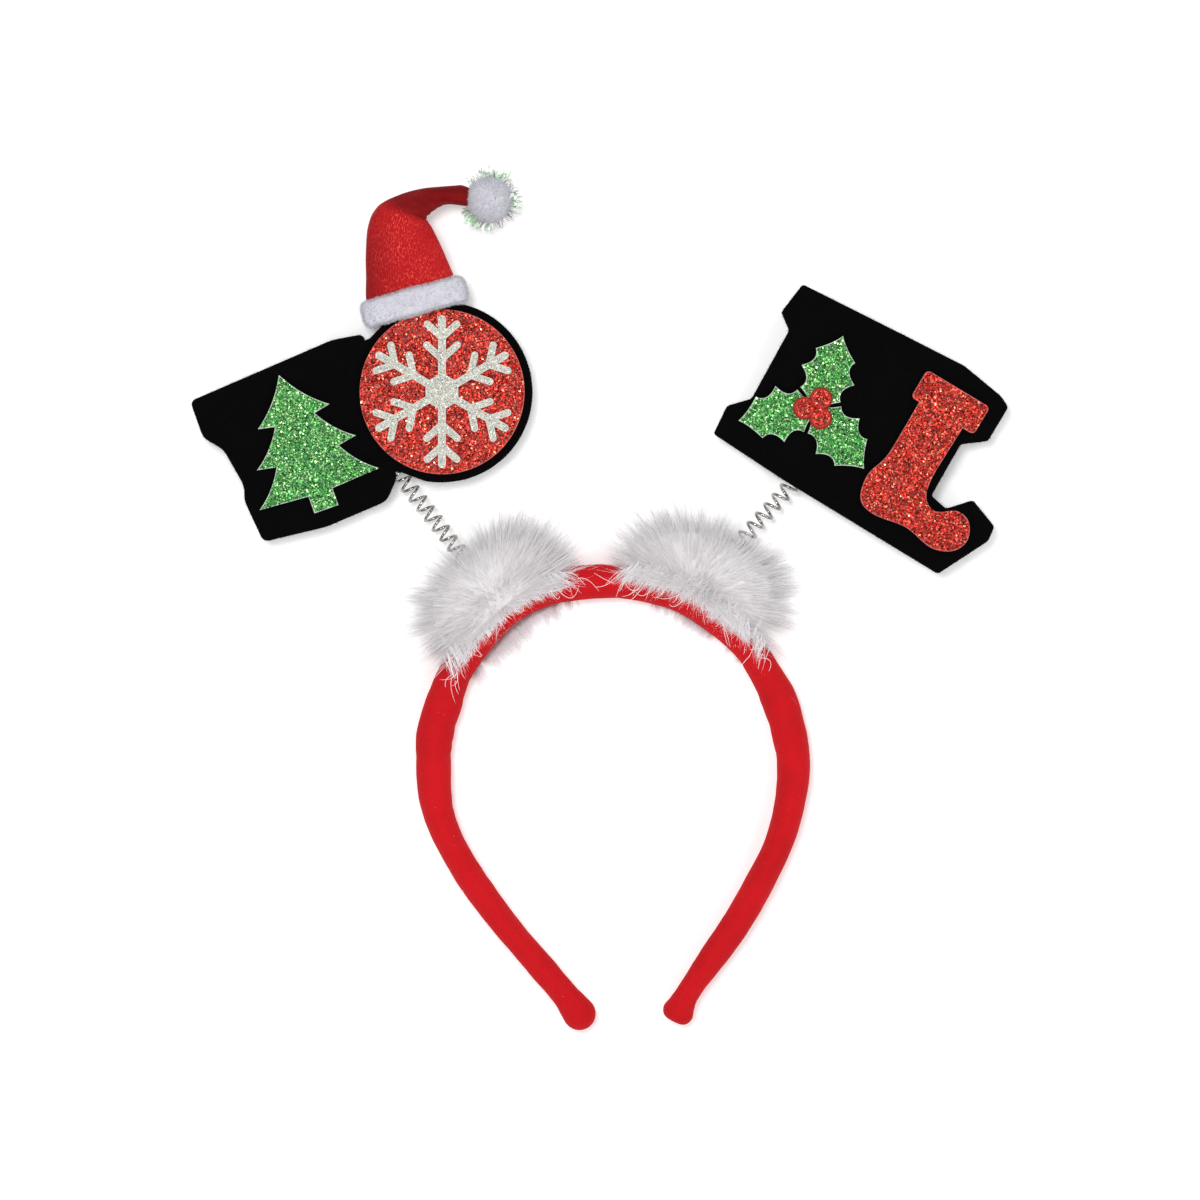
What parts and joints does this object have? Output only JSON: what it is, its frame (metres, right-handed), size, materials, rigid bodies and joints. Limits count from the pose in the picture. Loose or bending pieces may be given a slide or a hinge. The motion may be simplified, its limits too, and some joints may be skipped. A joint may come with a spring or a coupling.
{
  "type": "novelty headband with signs on springs",
  "caption": "Padded red arch headband with fur tufts and black felt signs on coil springs: glitter fir tree, snowflake bauble in a plush hat, holly and stocking.",
  "frame": {"origin": "middle of the object's footprint, at the surface on which the headband lies on its back", "axes": "+X towards the wearer's left side of the band, +Y from the tips up over the crown, +Z out of the signs' glitter faces"},
  "size_m": [0.31, 0.3274, 0.0286],
  "materials": {
    "red_knit": "matte fine knit stretched over foam padding",
    "white_fur": "fluffy down, off-white",
    "spring_steel": "bare drawn wire",
    "black_felt": "matte pressed felt",
    "green_glitter": "coarse glitter on foam sheet",
    "red_glitter": "coarse glitter on foam sheet",
    "pearl_glitter": "fine iridescent glitter on foam sheet",
    "red_satin": "shiny ribbed stretch fabric",
    "white_plush": "short pile plush"
  },
  "bodies": {
    "headband": {"headband": "red_knit", "left_fur": "white_fur", "right_fur": "white_fur"},
    "left_coil": {"left_spring": "spring_steel"},
    "left_sign": {"left_felt_board": "black_felt", "fir_tree": "green_glitter", "bauble_disc": "red_glitter", "snowflake": "pearl_glitter", "hat_cone": "red_satin", "hat_brim": "white_plush", "hat_pompom": "white_plush"},
    "right_coil": {"right_spring": "spring_steel"},
    "right_sign": {"right_felt_board": "black_felt", "holly_leaves": "green_glitter", "holly_berries": "red_glitter", "stocking": "red_glitter"}
  },
  "joints": [
    {"name": "left_nod", "type": "hinge", "parent": "headband", "child": "left_coil", "pos_m": [-0.05468, 0.01988, 0.008], "axis": [0.788, 0.6157, 0], "range_deg": [-25, 25], "stiffness_Nm_per_rad": 0.065, "springref_deg": 5.16, "deforming": ["left_spring"]},
    {"name": "left_sway", "type": "hinge", "parent": "left_coil", "child": "left_sign", "pos_m": [-0.06761, 0.03643, 0.008], "axis": [0, 0, 1], "range_deg": [-15, 15], "stiffness_Nm_per_rad": 0.065, "deforming": ["left_spring"]},
    {"name": "right_nod", "type": "hinge", "parent": "headband", "child": "right_coil", "pos_m": [0.05376, 0.02213, 0.008], "axis": [0.7466, -0.6652, 0], "range_deg": [-25, 25], "stiffness_Nm_per_rad": 0.065, "springref_deg": 5.16, "deforming": ["right_spring"]},
    {"name": "right_sway", "type": "hinge", "parent": "right_coil", "child": "right_sign", "pos_m": [0.0668, 0.03676, 0.008], "axis": [0, 0, 1], "range_deg": [-15, 15], "stiffness_Nm_per_rad": 0.065, "deforming": ["right_spring"]}
  ]
}
